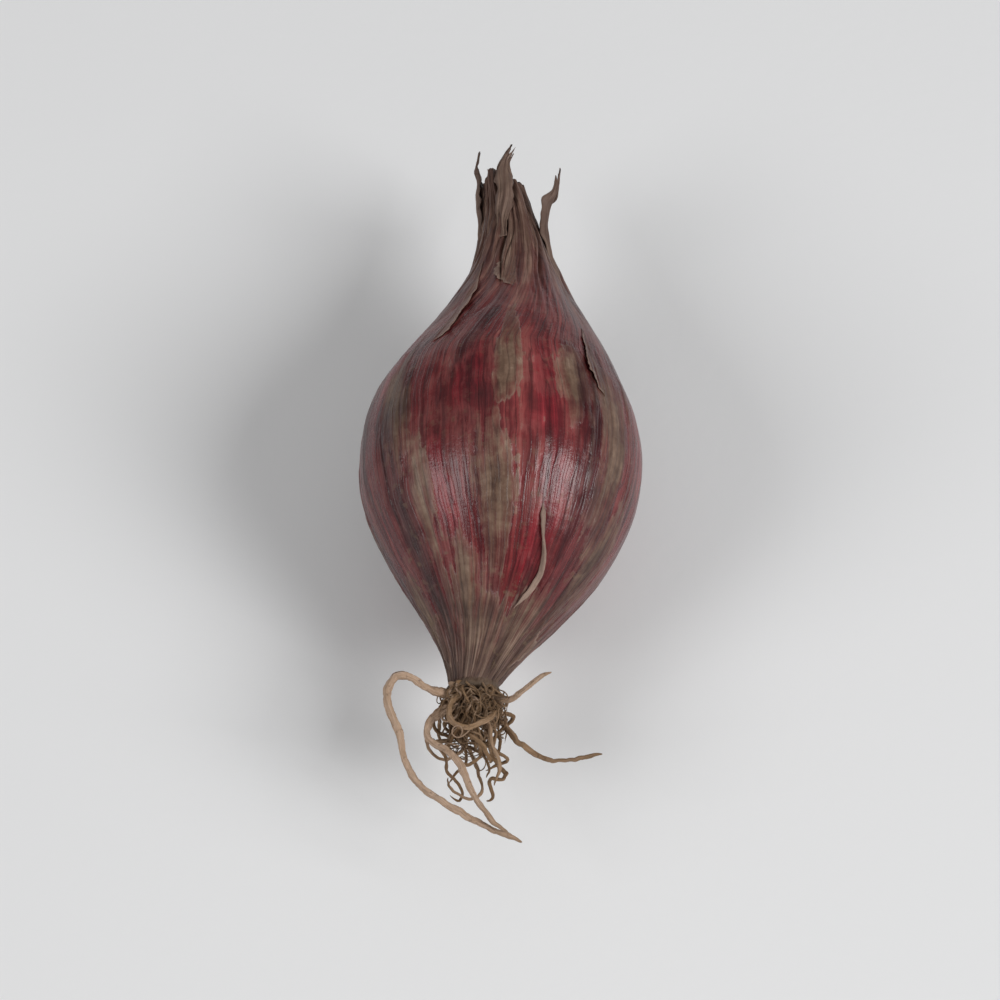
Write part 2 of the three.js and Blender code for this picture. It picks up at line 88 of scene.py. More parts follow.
def smooth(t):
    t = np.clip(t, 0.0, 1.0)
    return t * t * (3 - 2 * t)


def step(a, b, x):
    return smooth((x - a) / (b - a))


def radius_at(s):
    t = np.maximum(0.0, np.asarray(s, float) / PROFILE_STEP)
    i = np.minimum(np.floor(t).astype(int), 28)
    u = np.minimum(t - i, 1.0)
    at = lambda k: PROFILE[np.clip(k, 0, len(PROFILE) - 1)]
    slope = lambda k: (at(k + 1) - at(np.maximum(0, k - 1))) / np.where(k > 0, 2.0, 1.0)
    a, b, ma, mb = at(i), at(i + 1), slope(i), slope(i + 1)
    u2, u3 = u * u, u * u * u
    return (2 * u3 - 3 * u2 + 1) * a + (u3 - 2 * u2 + u) * ma + (-2 * u3 + 3 * u2) * b + (u3 - u2) * mb


def cross_section(s, th):
    body = step(1, 8, s) * (1 - step(26, 36, s))
    neck = step(27, 35, s)
    return (
        1
        + body * 0.018 * np.cos(2 * (th - 0.5))
        + body * 0.008 * np.cos(3 * (th - 1.3))
        + neck * 0.085 * np.cos(5 * th + 0.12 * (s - 27)) * (0.75 + 0.25 * np.cos(th + 1))
    )


def bend_right(s):
    s = np.asarray(s, float)
    root = np.where(s < 12, -2.15 * (1 - s / 12) ** 2, 0.0)
    shoulder = np.where(s > 24, np.sin(np.pi * np.clip((s - 24) / 20, 0, 1)).clip(0, 1) ** 1.3, 0.0)
    return root + shoulder


def bend_up(s):
    s = np.asarray(s, float)
    return np.where(s > 28, -1.2 * ((s - 28) / (LENGTH - 28)) ** 2, 0.0)


def place(right, along, up):
    """Right, along the axis and up from the axis, to row-frame millimetres."""
    c, n = math.cos(TILT), math.sin(TILT)
    right, along, up = np.broadcast_arrays(np.asarray(right, float), np.asarray(along, float), np.asarray(up, float))
    return np.stack([right, along * c - up * n, AXIS_Z + along * n + up * c], -1) - ORIGIN


# ------------------------------------------------------------------ noise


class Perlin:
    def __init__(self, seed):
        rng = np.random.default_rng(seed)
        self.p = np.tile(rng.permutation(256), 3)
        g = rng.normal(size=(256, 3))
        self.g = g / np.linalg.norm(g, axis=1, keepdims=True)

    def __call__(self, x, y, z):
        x, y, z = np.broadcast_arrays(x, y, z)
        xi, yi, zi = (np.floor(v).astype(np.int64) for v in (x, y, z))
        xf, yf, zf = x - xi, y - yi, z - zi
        u, v, w = (t * t * t * (t * (t * 6 - 15) + 10) for t in (xf, yf, zf))
        xi, yi, zi = xi & 255, yi & 255, zi & 255

        def corner(a, b, c):
            g = self.g[self.p[self.p[self.p[(xi + a) & 255] + ((yi + b) & 255)] + ((zi + c) & 255)]]
            return g[..., 0] * (xf - a) + g[..., 1] * (yf - b) + g[..., 2] * (zf - c)

        mix = lambda a, b, t: a + t * (b - a)
        x00 = mix(corner(0, 0, 0), corner(1, 0, 0), u)
        x10 = mix(corner(0, 1, 0), corner(1, 1, 0), u)
        x01 = mix(corner(0, 0, 1), corner(1, 0, 1), u)
        x11 = mix(corner(0, 1, 1), corner(1, 1, 1), u)
        return mix(mix(x00, x10, v), mix(x01, x11, v), w) * 1.6

    def fbm(self, x, y, z, octaves=4, gain=0.5):
        total, amp, f, norm = 0.0, 1.0, 1.0, 0.0
        for k in range(octaves):
            total = total + amp * self(x * f + 13.1 * k, y * f + 7.7 * k, z * f + 3.3 * k)
            norm += amp
            amp *= gain
            f *= 2.03
        return total / norm


N1, N2, N3, N4, N5 = (Perlin(k) for k in (11, 23, 37, 51, 73))


def around(noise, th, s, k, ks, octaves=1, shift=0.0):
    """Noise that has no seam round the axis: k sets the cells around, ks the cells per mm along."""
    x, y, z = k * np.cos(th) + 31.7 + shift, k * np.sin(th) + 17.3 + shift, np.asarray(s) * ks + 5.5
    return noise.fbm(x, y, z, octaves) if octaves > 1 else noise(x, y, z)


# ------------------------------------------------------------------ the skin

# Remains of the older dry skin over the fresh one: (angle in degrees, distance along, half width in degrees, half length, strength).
PATCHES = [
    (92, 12.5, 10, 6.5, 1.0),
    (114, 6.0, 15, 4.0, 1.0),
    (98, 4.0, 30, 2.6, 0.8),
    (139, 20.5, 12, 5.5, 1.0),
    (84, 22.5, 8, 5.0, 0.95),
    (128, 13.0, 7, 5.0, 0.55),
    (167, 5.0, 18, 3.6, 0.9),
    (60, 4.0, 22, 3.0, 0.8),
    (38, 17.0, 13, 8.0, 0.95),
    (57, 21.5, 7, 4.0, 0.75),
    (22, 9.0, 12, 5.0, 0.6),
    (196, 15.0, 16, 8.0, 0.8),
    (232, 22.0, 14, 6.0, 0.95),
    (262, 9.0, 20, 5.0, 0.8),
    (296, 18.0, 13, 9.0, 0.95),
    (330, 8.0, 16, 5.0, 0.8),
    (348, 23.0, 11, 6.0, 0.9),
]

# Where the skin is a clearer crimson: (angle in degrees, distance along, half width, half length).
CRIMSON = [
    (104, 22.0, 9, 4.2, 0.85),
    (68, 20.0, 9, 6.5, 0.92),
    (67, 12.5, 10, 5.0, 0.95),
    (76, 8.5, 8, 3.0),
    (118, 13.5, 8, 4.4, 0.85),
    (150, 24.0, 10, 5.0),
    (186, 21.0, 18, 7.0),
    (215, 12.0, 15, 6.0),
    (254, 20.0, 13, 7.0),
    (318, 15.0, 14, 8.0),
    (8, 20.0, 12, 6.0),
]


def blobs(th, s, spots, wobble):
    """1 at the middle of the nearest spot, 0 on its edge, down to -1.2 away from all of them."""
    deg = np.degrees(th)
    best = np.full(np.broadcast(th, s).shape, -1.2)
    wob = around(N2, th, s, 3.0, 0.10, 2) * wobble
    for a, c, wa, wc, *k in spots:
        d = (deg + wob - a + 180) % 360 - 180
        best = np.maximum(best, (k[0] if k else 1.0) * (1.0 - np.sqrt((d / wa) ** 2 + ((s - c) / wc) ** 2)))
    return best


def old_field(th, s):
    """Above 0 where the older dry skin is left on, below 0 where it has worn off."""
    f = blobs(th, s, PATCHES, 8.0) * 0.8 - 0.06
    f = f + 0.30 * around(N1, th, s, 7.0, 0.09, 2) + 0.34 * around(N3, th, s, 15.0, 0.11, 2)
    f = f + 0.20 * around(N5, th, s, 34.0, 0.22, 2) + 0.10 * around(N4, th, s, 24.0, 1.1, 2)
    return f + 0.55 * step(28, 37, s) + 0.5 * (1 - step(0.5, 3.5, s))


def flank_shade_field(th, s):
    """1 on the flanks and underneath, where painted shade darkens the skin, 0 along the top."""
    off = np.abs((np.degrees(th) - 90 + 180) % 360 - 180)
    return step(34, 66, off + 16 * around(N2, th, s, 4.0, 0.12, 2, 5.0)) * (0.80 + 0.35 * around(N4, th, s, 3.0, 0.10, 2, 2.0))


def bulb_offset(th, s):
    """How far the surface stands off the plain form, in mm, and the old-skin field."""
    body = step(0.8, 4.0, s) * (1 - step(33, 40, s))
    neck = step(25, 37, s)
    f = old_field(th, s)
    # soft unevenness of the flesh, broad ribs and a few dents
    d = 0.16 * around(N4, th, s, 1.3, 0.09, 2) * body
    rib = around(N5, th, s, 5.2, 0.035, 1)
    d = d + 0.085 * rib * body
    d = d - 0.20 * np.clip(around(N2, th, s, 1.7, 0.16, 1, 9.0) - 0.42, 0, 1) * body
    # fine veins of the skin, from the root plate to the neck
    vein = 1 - np.abs(around(N3, th, s, 11.0, 0.05, 1, 4.0)) * 4.5
    d = d + 0.028 * np.clip(vein, 0, 1) * step(0.5, 5.0, s)
    vein2 = 1 - np.abs(around(N1, th, s, 19.0, 0.07, 1, 2.0)) * 4.0
    d = d + 0.016 * np.clip(vein2, 0, 1) * step(2.0, 8.0, s)
    # the older skin: a thin step with a partly lifted edge, and fine crinkles across it
    on = step(-0.02, 0.06, f)
    lift = around(N4, th, s, 4.0, 0.3, 1, 6.0)
    d = d + on * 0.045 + 0.09 * np.clip(lift, 0, 1.0) * np.exp(-(((f - 0.06) / 0.045) ** 2)) * body
    crinkle = around(N5, th, s, 9.0, 0.8, 3, 3.0)
    d = d + (0.012 + on * 0.034) * crinkle
    # the dried neck: shrunken between deep folds that wind slightly
    turn = th + 0.035 * (s - 25) + 0.25 * around(N2, th, s, 1.0, 0.15)
    fold = np.abs(around(N4, turn, s, 2.1, 0.05, 1, 1.5))
    d = d - 0.62 * neck * np.exp(-((fold / 0.085) ** 2)) * (0.35 + 0.65 * step(28, 36, s))
    fold2 = np.abs(around(N5, turn, s, 4.6, 0.07, 1, 8.5))
    d = d - 0.20 * neck * np.exp(-((fold2 / 0.10) ** 2))
    d = d + 0.14 * neck * around(N1, turn, s, 3.0, 0.35, 2, 3.0)
    d = d + 0.10 * step(33, 41, s) * around(N3, turn, s, 6.0, 0.9, 2, 5.0)
    # the conical end above the root plate is ringed with dry skin ends
    low = 1 - step(2.0, 9.0, s)
    d = d + low * (0.12 * around(N3, th, s, 5.0, 0.4, 2, 1.0) - 0.05)
    pleat = np.abs(around(N5, th + 0.02 * s, s, 5.5, 0.09, 1, 2.5))
    d = d - 0.17 * low * step(0.3, 1.6, s) * np.exp(-((pleat / 0.10) ** 2))
    pleat2 = np.abs(around(N1, th, s, 11.0, 0.16, 1, 6.5))
    d = d - 0.075 * low * np.exp(-((pleat2 / 0.12) ** 2))
    # torn ends of the dry skin just above the plate
    d = d + 0.10 * (1 - step(0.8, 2.2, s)) * np.clip(around(N2, th, s, 7.0, 1.2, 2, 4.0) + 0.1, 0, 1)
    return d, f


def surface(th, s, extra=0.0):
    """Points of the bulb's surface, in row-frame mm, and the old-skin field."""
    d, f = bulb_offset(th, s)
    rho = radius_at(s) * cross_section(s, th) + d + extra
    p = place(bend_right(s) + rho * np.cos(th), s, bend_up(s) + rho * np.sin(th))
    return p, f


def settle(p):
    """Presses the belly flat where it meets the floor."""
    p = p.copy()
    z = p[..., 2]
    p[..., 2] = 0.5 * (z + np.sqrt(z * z + 0.12**2)) * (z < 2.5) + z * (z >= 2.5)
    return p


def new_object(name, verts_mm, faces_quads, faces_tris=(), attributes=None, uv=None):
    """A smooth-shaded mesh object from arrays; vertices in mm."""
    quads = np.asarray(faces_quads, np.int32).reshape(-1, 4)
    tris = np.asarray(faces_tris, np.int32).reshape(-1, 3)
    v = np.asarray(verts_mm, np.float64).reshape(-1, 3) * MM
    me = bpy.data.meshes.new(name)
    nq, nt = len(quads), len(tris)
    me.vertices.add(len(v))
    me.vertices.foreach_set("co", v.astype(np.float32).ravel())
    me.loops.add(nq * 4 + nt * 3)
    me.loops.foreach_set("vertex_index", np.concatenate([quads.ravel(), tris.ravel()]).astype(np.int32))
    me.polygons.add(nq + nt)
    starts = np.concatenate([np.arange(nq) * 4, nq * 4 + np.arange(nt) * 3]).astype(np.int32)
    totals = np.concatenate([np.full(nq, 4), np.full(nt, 3)]).astype(np.int32)
    me.polygons.foreach_set("loop_start", starts)
    me.polygons.foreach_set("loop_total", totals)
    me.polygons.foreach_set("use_smooth", np.ones(nq + nt, bool))
    me.update(calc_edges=True)
    me.validate()
    for key, values in (attributes or {}).items():
        values = np.asarray(values, np.float32)
        kind = "FLOAT_VECTOR" if values.ndim == 2 else "FLOAT"
        a = me.attributes.new(key, kind, "POINT")
        a.data.foreach_set("vector" if kind == "FLOAT_VECTOR" else "value", values.ravel())
    ob = bpy.data.objects.new(name, me)
    bpy.context.scene.collection.objects.link(ob)
    return ob


def grid_faces(rows, cols, wrap=True, base=0):
    i = np.arange(rows - 1)[:, None]
    j = np.arange(cols if wrap else cols - 1)[None, :]
    a = base + i * cols + j
    b = base + i * cols + (j + 1) % cols
    return np.stack([a, b, b + cols, a + cols], -1).reshape(-1, 4)


def make_bulb():
    cols = 300
    th = np.arange(cols) * 2 * np.pi / cols
    rows_p, rows_f, rows_s, rows_kind = [], [], [], []

    def add(p, f, s, kind):
        rows_p.append(p)
        rows_f.append(np.broadcast_to(f, (cols,)))
        rows_s.append(np.broadcast_to(s, (cols,)))
        rows_kind.append(np.full(cols, kind))

    # root plate, from its middle outwards: rough cork with a raised rim
    for q in np.linspace(0.04, 1.0, 18):
        r = PLATE_R * q
        cork = 0.16 * N1.fbm(r * np.cos(th) * 1.5, r * np.sin(th) * 1.5, 3.3, 3) + 0.07 * N3.fbm(r * np.cos(th) * 4.0, r * np.sin(th) * 4.0, 8.1, 2)
        dome = -PLATE_H * (1 - q**2 * 0.55) + cork * (1 - 0.4 * q)
        edge = 1 + 0.05 * around(N2, th, 0.0, 3.0, 0.1, 2)
        add(place(bend_right(0) + r * edge * np.cos(th), dome, r * edge * np.sin(th)), 1.0, 0.0, 1.0)
    # rim of the plate and the groove behind it
    for k, (rr, ss) in enumerate([(1.99, -0.05), (2.0, 0.12), (1.93, 0.3), (1.86, 0.42)]):
        edge = 1 + 0.05 * around(N2, th, 0.0, 3.0, 0.1, 2)
        bump = 0.05 * around(N3, th, ss, 8.0, 2.0, 2)
        add(place(bend_right(ss) + (rr * edge + bump) * np.cos(th), ss, (rr * edge + bump) * np.sin(th)), 1.0, 0.0, 1.0 - 0.2 * k)
    # body and neck
    rim = 43.1 + 0.9 * around(N1, th, 0.0, 1.3, 0.1, 1, 3.0) + 0.75 * around(N2, th, 0.0, 4.5, 0.1, 2, 7.0)
    t = np.linspace(0, 1, 262)
    for u in t:
        base = 0.55 + (rim - 0.55) * u
        p, f = surface(th, base)
        add(p, f, base, 0.0)
    # rolled edge of the dry neck and its hollow inside
    for k, (back, inset) in enumerate([(-0.03, 0.07), (0.05, 0.15), (0.35, 0.26), (0.9, 0.40), (1.6, 0.60), (2.4, 0.85), (3.0, 1.10), (3.4, 1.35)]):
        s = rim - back
        d, f = bulb_offset(th, s)
        rho = np.maximum(radius_at(s) * cross_section(s, th) + d - inset, 0.04 + 0.02 * (8 - k))
        add(place(bend_right(s) + rho * np.cos(th), s, bend_up(s) + rho * np.sin(th)), 1.0, s, -1.0)
    P = np.stack(rows_p)
    rows = len(P)
    quads = grid_faces(rows, cols)
    verts = settle(P.reshape(-1, 3))
    first = verts[:cols].mean(0)
    last = verts[-cols:].mean(0)
    verts = np.vstack([verts, first, last])
    n = rows * cols
    j = np.arange(cols)
    tri_a = np.stack([np.full(cols, n), (j + 1) % cols, j], -1)
    tri_b = np.stack([np.full(cols, n + 1), (rows - 1) * cols + j, (rows - 1) * cols + (j + 1) % cols], -1)
    TH = np.broadcast_to(th, (rows, cols)).ravel()
    S = np.stack(rows_s).ravel()
    F = np.stack(rows_f).ravel()
    K = np.stack(rows_kind).ravel()
    turn = TH + 0.035 * np.clip(S - 25, 0, 30)
    skin = np.stack([np.cos(turn), np.sin(turn), S / 10], -1)
    pad = lambda a, x, y: np.concatenate([a, [x, y]])
    attributes = {
        "skin": np.vstack([skin, [0, 0, 0], [0, 0, 4.3]]),
        "old": pad(F, 1.0, 1.0),
        "along": pad(S / 43.2, 0.0, 1.0),
        "plate": pad(np.clip(K, 0, 1), 1.0, 0.0),
        "hollow": pad(np.clip(-K, 0, 1), 0.0, 1.0),
        "red": pad(step(-0.25, 0.55, blobs(TH, S, CRIMSON, 10.0) + 0.4 * around(N5, TH, S, 11.0, 0.12, 2)), 0.0, 0.0),
        "painted_flank_shade": pad(flank_shade_field(TH, S), 0.0, 0.0),
    }
    return new_object("onion_bulb", verts, quads[:, ::-1], np.vstack([tri_a[:, ::-1], tri_b[:, ::-1]]), attributes)


# ------------------------------------------------------------------ tubes: roots and rootlets


def spline(points, n):
    """n points evenly along a smooth curve through the given ones."""
    P = np.asarray(points, float)
    P = np.vstack([2 * P[0] - P[1], P, 2 * P[-1] - P[-2]])
    out = []
    for k in range(1, len(P) - 2):
        a, b, c, d = P[k - 1 : k + 3]
        t = np.linspace(0, 1, 24, endpoint=False)[:, None]
        out.append(0.5 * (2 * b + (c - a) * t + (2 * a - 5 * b + 4 * c - d) * t**2 + (3 * b - a - 3 * c + d) * t**3))
    out = np.vstack(out + [P[-2][None]])
    d = np.concatenate([[0], np.cumsum(np.linalg.norm(np.diff(out, axis=0), axis=1))])
    at = np.linspace(0, d[-1], n)
    return np.stack([np.interp(at, d, out[:, k]) for k in range(3)], -1), d[-1]


def frames(C):
    """Two vectors across the curve at each point, without twist."""
    T = np.gradient(C, axis=0)
    T /= np.linalg.norm(T, axis=1, keepdims=True) + 1e-12
    up = np.array([0.0, 0.0, 1.0]) if abs(T[0][2]) < 0.8 else np.array([1.0, 0, 0])
    u = np.cross(up, T[0])
    U = [u / np.linalg.norm(u)]
    for k in range(1, len(C)):
        u = U[-1] - T[k] * U[-1].dot(T[k])
        U.append(u / (np.linalg.norm(u) + 1e-12))
    U = np.array(U)
    return U, np.cross(T, U)


def tube(C, radius, sides, shape):
    """A closed tube along C. radius per point; shape(angle, k) is a factor on it."""
    U, V = frames(C)
    a = np.arange(sides) * 2 * np.pi / sides
    k = np.arange(len(C))[:, None]
    r = radius[:, None] * shape(a[None, :], k)
    P = C[:, None] + r[..., None] * (np.cos(a)[None, :, None] * U[:, None] + np.sin(a)[None, :, None] * V[:, None])
    n = len(C) * sides
    verts = np.vstack([P.reshape(-1, 3), C[0], C[-1]])
    quads = grid_faces(len(C), sides)
    j = np.arange(sides)
    ta = np.stack([np.full(sides, n), (j + 1) % sides, j], -1)
    tb = np.stack([np.full(sides, n + 1), (len(C) - 1) * sides + j, (len(C) - 1) * sides + (j + 1) % sides], -1)
    return verts, quads, np.vstack([ta, tb])


def make_root(index, name, diameter, points):
    rng = np.random.default_rng(500 + index)
    pts = [np.array(p, float) for p in points]
    first = pts[0]
    # the root comes out of the plate
    pts = [np.array([first[0] * 0.92, -0.25, first[2] * 0.92])] + pts
    C0, length = spline(pts, 60)
    n = max(40, int(length / 0.09))
    C0, length = spline(pts, n)
    t = np.linspace(0, length, n)
    # small kinks of a dried root
    wig = np.stack([N2(t * 0.9 + 3.1 * index + 11 * k, 0.5 + k, 0.7 * index) for k in range(3)], -1)
    wig += 0.45 * np.stack([N4(t * 2.3 + 5.1 * index + 7 * k, 1.5 + k, 0.3 * index) for k in range(3)], -1)
    C0 = C0 + wig * (0.09 if index < 3 else 0.13) * step(0.4, 2.0, t)[:, None]
    C = place(bend_right(0) + C0[:, 0], -C0[:, 1], bend_up(0) + C0[:, 2])
    q = t / length
    r = 0.5 * diameter * (1.0 if index < 5 else 0.80) * (1.12 - 0.34 * q) * (1 + 0.18 * N1(t * 1.5, 2.0 * index, 0.3) + 0.10 * N3(t * 5.0, 1.0 * index, 0.9))
    r *= np.clip((length - t) / (0.9 + 0.5 * rng.random()), 0.0, 1.0) ** 0.55 * 0.9 + 0.1 * (t < length - 0.02)
    r = np.maximum(r, 0.02)
    r *= 1 + 0.5 * np.exp(-t / 0.35)
    tt = t[:, None]
    flat = 0.82 + 0.1 * rng.random()
    ph = rng.random() * 6.28

    def shape(a, k):
        g = 1 + 0.15 * np.cos(3 * a + ph + 0.9 * tt) + 0.10 * np.cos(5 * a - ph - 0.6 * tt) + 0.06 * N5(2.0 * np.cos(a), 2.0 * np.sin(a), 2.2 * tt + index)
        return g * (flat + (1 - flat) * 2 * np.cos(a + 0.35 * tt + ph) ** 2)

    verts, quads, tris = tube(C, r, 14, shape)
    S = np.concatenate([np.repeat(t, 14), [0, length]])
    A = np.tile(np.arange(14) * 2 * np.pi / 14, n)
    coords = np.vstack([np.stack([np.cos(A), np.sin(A), S[:-2]], -1), [0, 0, 0], [0, 0, length]])
    tone = float(rng.random())
    if index in (0, 1, 2):
        tone = 0.84 + 0.10 * tone
    elif index in (3, 4):
        tone = 0.58
    else:
        tone = 0.24 + 0.46 * tone
    attributes = {"grain": coords + [0, 0, 20.0 * index], "tone": np.full(len(verts), tone), "out": np.concatenate([np.repeat(q, 14), [0, 1]])}
    return new_object(name + "_skin", verts, quads, tris, attributes)


def make_rootlets():
    """The fine curls of the tuft, one mesh."""
    rng = np.random.default_rng(77)
    V, Q, T, G, TN, OT = [], [], [], [], [], []
    base = 0
    count = 0
    for i in range(600):
        if count >= 300:
            break
        r = 1.85 * math.sqrt(rng.random())
        a = rng.random() * 2 * math.pi
        b = np.array([r * math.cos(a), -0.2, r * math.sin(a)])
        length = rng.uniform(3.0, 12.5) * (0.8 if r > 1.5 else 1.0)
        n = max(18, int(length / 0.14))
        h = length / n
        d = np.array([b[0] * 0.40, 1.0, b[2] * 0.40]) + rng.normal(0, 0.35, 3)
        d /= np.linalg.norm(d)
        w = rng.normal(0, 1, 3) * rng.uniform(0.4, 1.7)
        P = [b]
        far = 2.2 + 6.8 * rng.random() ** 0.62
        goal = np.array([b[0] * 1.15 * (1 - far / 13) + rng.normal(0, 0.34) + 0.05 * far, far, b[2] * 1.15 * (1 - far / 16) + rng.normal(0, 0.40)])
        for k in range(n):
            w = w * 0.965 + rng.normal(0, 1, 3) * 0.46
            d = d + np.cross(w, d) * h
            pull = goal - P[-1]
            d = d + pull / (np.linalg.norm(pull) + 0.3) * h * (0.62 if k * h > 1.0 else 0.15)
            d /= np.linalg.norm(d)
            P.append(P[-1] + d * h)
        P = np.array(P)
        if P[:, 1].max() > 8.6 or abs(P[:, 0] - 0.05 * P[:, 1]).max() > 2.9 or (np.abs(P[:, 0] - 0.05 * P[:, 1]) - 2.4 + 0.16 * P[:, 1]).max() > 0.5 or P[:, 2].min() < -3.4 or P[:, 2].max() > 3.0 or P[6:, 1].min() < 0.05:
            continue
        C = place(bend_right(0) + P[:, 0], -P[:, 1], bend_up(0) + P[:, 2])
        t = np.linspace(0, length, len(C))
        rad = rng.uniform(0.034, 0.092) * (1.15 - 0.5 * t / length) * (1 + 0.2 * N1(t * 2.2, i * 1.7, 0.0))
        rad *= np.clip((length - t) / 0.5, 0.12, 1.0)
        v, q, tr = tube(C, rad, 5, lambda a, k: 1 + 0.12 * np.cos(3 * a + i))
        V.append(v)
        Q.append(q + base)
        T.append(tr + base)
        S = np.concatenate([np.repeat(t, 5), [0, length]])
        A = np.concatenate([np.tile(np.arange(5) * np.pi / 2.5, len(C)), [0, 0]])
        G.append(np.stack([np.cos(A), np.sin(A), S + 9.0 * i], -1))
        TN.append(np.full(len(v), 0.26 + rng.random() ** 1.1 * 0.62))
        OT.append(S / length)
        base += len(v)
        count += 1
    print("rootlets", count, "triangles", sum(len(q) for q in Q) * 2 + sum(len(t) for t in T))
    return new_object("root_curls", np.vstack(V), np.vstack(Q), np.vstack(T), {"grain": np.vstack(G), "tone": np.concatenate(TN), "out": np.concatenate(OT)})


# ------------------------------------------------------------------ thin dry skin: shreds and lifted flaps


def thin_sheet(name, mid, normal, thickness, uv):
    """A closed thin sheet from a grid of points and normals."""
    rows, cols = mid.shape[:2]
    taper = np.ones((rows, cols))
    top = mid + normal * (thickness * taper / 2)[..., None]
    bottom = mid - normal * (thickness * taper / 2)[..., None]
    verts = np.vstack([top.reshape(-1, 3), bottom.reshape(-1, 3)])
    n = rows * cols
    q = grid_faces(rows, cols, wrap=False)
    quads = [q, (q + n)[:, ::-1]]
    ring = list(range(cols)) + [r * cols + cols - 1 for r in range(1, rows)]
    ring += [(rows - 1) * cols + c for c in range(cols - 2, -1, -1)] + [r * cols for r in range(rows - 2, 0, -1)]
    ring = np.array(ring)
    nxt = np.roll(ring, -1)
    quads.append(np.stack([nxt, ring, ring + n, nxt + n], -1))
    U = np.tile(uv.reshape(-1, 3), (2, 1))
    return new_object(name, verts, np.vstack(quads), (), {"skin": U, "edge": U[:, 0] * 0})


def grid_normals(P):
    a = np.gradient(P, axis=0)
    b = np.gradient(P, axis=1)
    n = np.cross(a, b)
    return n / (np.linalg.norm(n, axis=-1, keepdims=True) + 1e-12)


def make_shred(index, name, width, side, points):
    rng = np.random.default_rng(900 + index)
    pts = [np.array(p, float) for p in points]
    rows, cols = 70, 26
    # the shred grows out of the neck's own surface
    s0 = pts[0][1]
    tuck = pts[0].copy()
    centre = np.array([float(bend_right(s0 - 4.0)), s0 - 4.0, float(bend_up(s0 - 4.0))])
    radial = np.array([pts[0][0] - centre[0], 0, pts[0][2] - centre[2]])
    radial /= np.linalg.norm(radial)
    tuck = centre + radial * (float(radius_at(s0 - 4.0)) * 0.96)
    mid = s0 - 1.9
    tuck2 = np.array([float(bend_right(mid)), mid, float(bend_up(mid))]) + radial * (float(radius_at(mid)) * 1.0)
    C, length = spline([tuck, tuck2] + pts, rows)
    t = np.linspace(0, 1, rows)
    along = np.gradient(C, axis=0)
    along /= np.linalg.norm(along, axis=1, keepdims=True)
    axis = np.stack([bend_right(C[:, 1]), C[:, 1], bend_up(C[:, 1])], -1)
    out = C - axis
    out[:, 1] = 0
    out /= np.linalg.norm(out, axis=1, keepdims=True)
    across = np.cross(along, out)
    across /= np.linalg.norm(across, axis=1, keepdims=True)
    out = np.cross(across, along)
    v = np.linspace(-1, 1, cols)[None, :]
    tt = t[:, None]
    w = width / 2 * (0.45 + 0.55 * step(0.0, 0.45, tt)) * (1.0 - 0.15 * tt - 0.45 * step(0.70, 1.0, tt)) * (1 + 0.2 * N1(tt * 5, index * 3.0, 0.0))
    ragged = 0.30 * N2(tt * 10, np.sign(v) * 2.0, index) * np.abs(v) ** 3
    x = v * w * (1 + ragged)
    curl = (0.30 + 0.35 * tt) * (x / 0.8) ** 2 * (-1 if index != 1 else -1)
    ripple = 0.14 * N3(tt * 6, v * 1.6, 3.0 * index) + 0.09 * N4(tt * 2.0, v * 5.0, index) + 0.04 * N5(tt * 3.0, v * 11.0, index)
    end = 1 + 0.22 * (N5(v * 3.4, index * 1.0, 0.2) + 0.5 * N3(v * 9.0, index * 1.0, 0.7) - 0.25) * step(0.62, 1, tt)
    P = C[:, None] + across[:, None] * x[..., None] + out[:, None] * (curl + ripple)[..., None]
    P = P + along[:, None] * ((end - 1) * length * 0.6)[..., None]
    W = place(P[..., 0], P[..., 1], P[..., 2])
    n = grid_normals(W)
    uv = np.stack([np.broadcast_to(v * 0.35 + index * 1.3, (rows, cols)), np.broadcast_to(tt * 0 + index * 0.7, (rows, cols)), np.broadcast_to(tt * length / 10 + 3.0, (rows, cols))], -1)
    return thin_sheet(name + "_skin", W, n, 0.09, uv)


# Lifted edges of the dry skin: (angle, distance along, reach in degrees, half length, lift in mm, side that is free, lean along the axis per degree).
FLAPS = [
    (131, 30.0, 13, 4.6, 0.34, -1, 0.07),
    (41, 24.2, 8, 3.4, 0.26, 1, 0.10),
    (205, 27.0, 12, 5.0, 0.34, 1, 0.0),
    (322, 26.5, 12, 5.0, 0.36, -1, 0.05),
    (148, 3.4, 14, 2.0, 0.26, 1, 0.0),
    (28, 3.2, 14, 1.9, 0.26, -1, 0.0),
    (86, 35.2, 24, 4.2, 0.17, 1, 0.05),
    (250, 34.5, 30, 4.0, 0.30, 1, 0.0),
    (245, 6.0, 13, 2.6, 0.22, -1, 0.0),
]


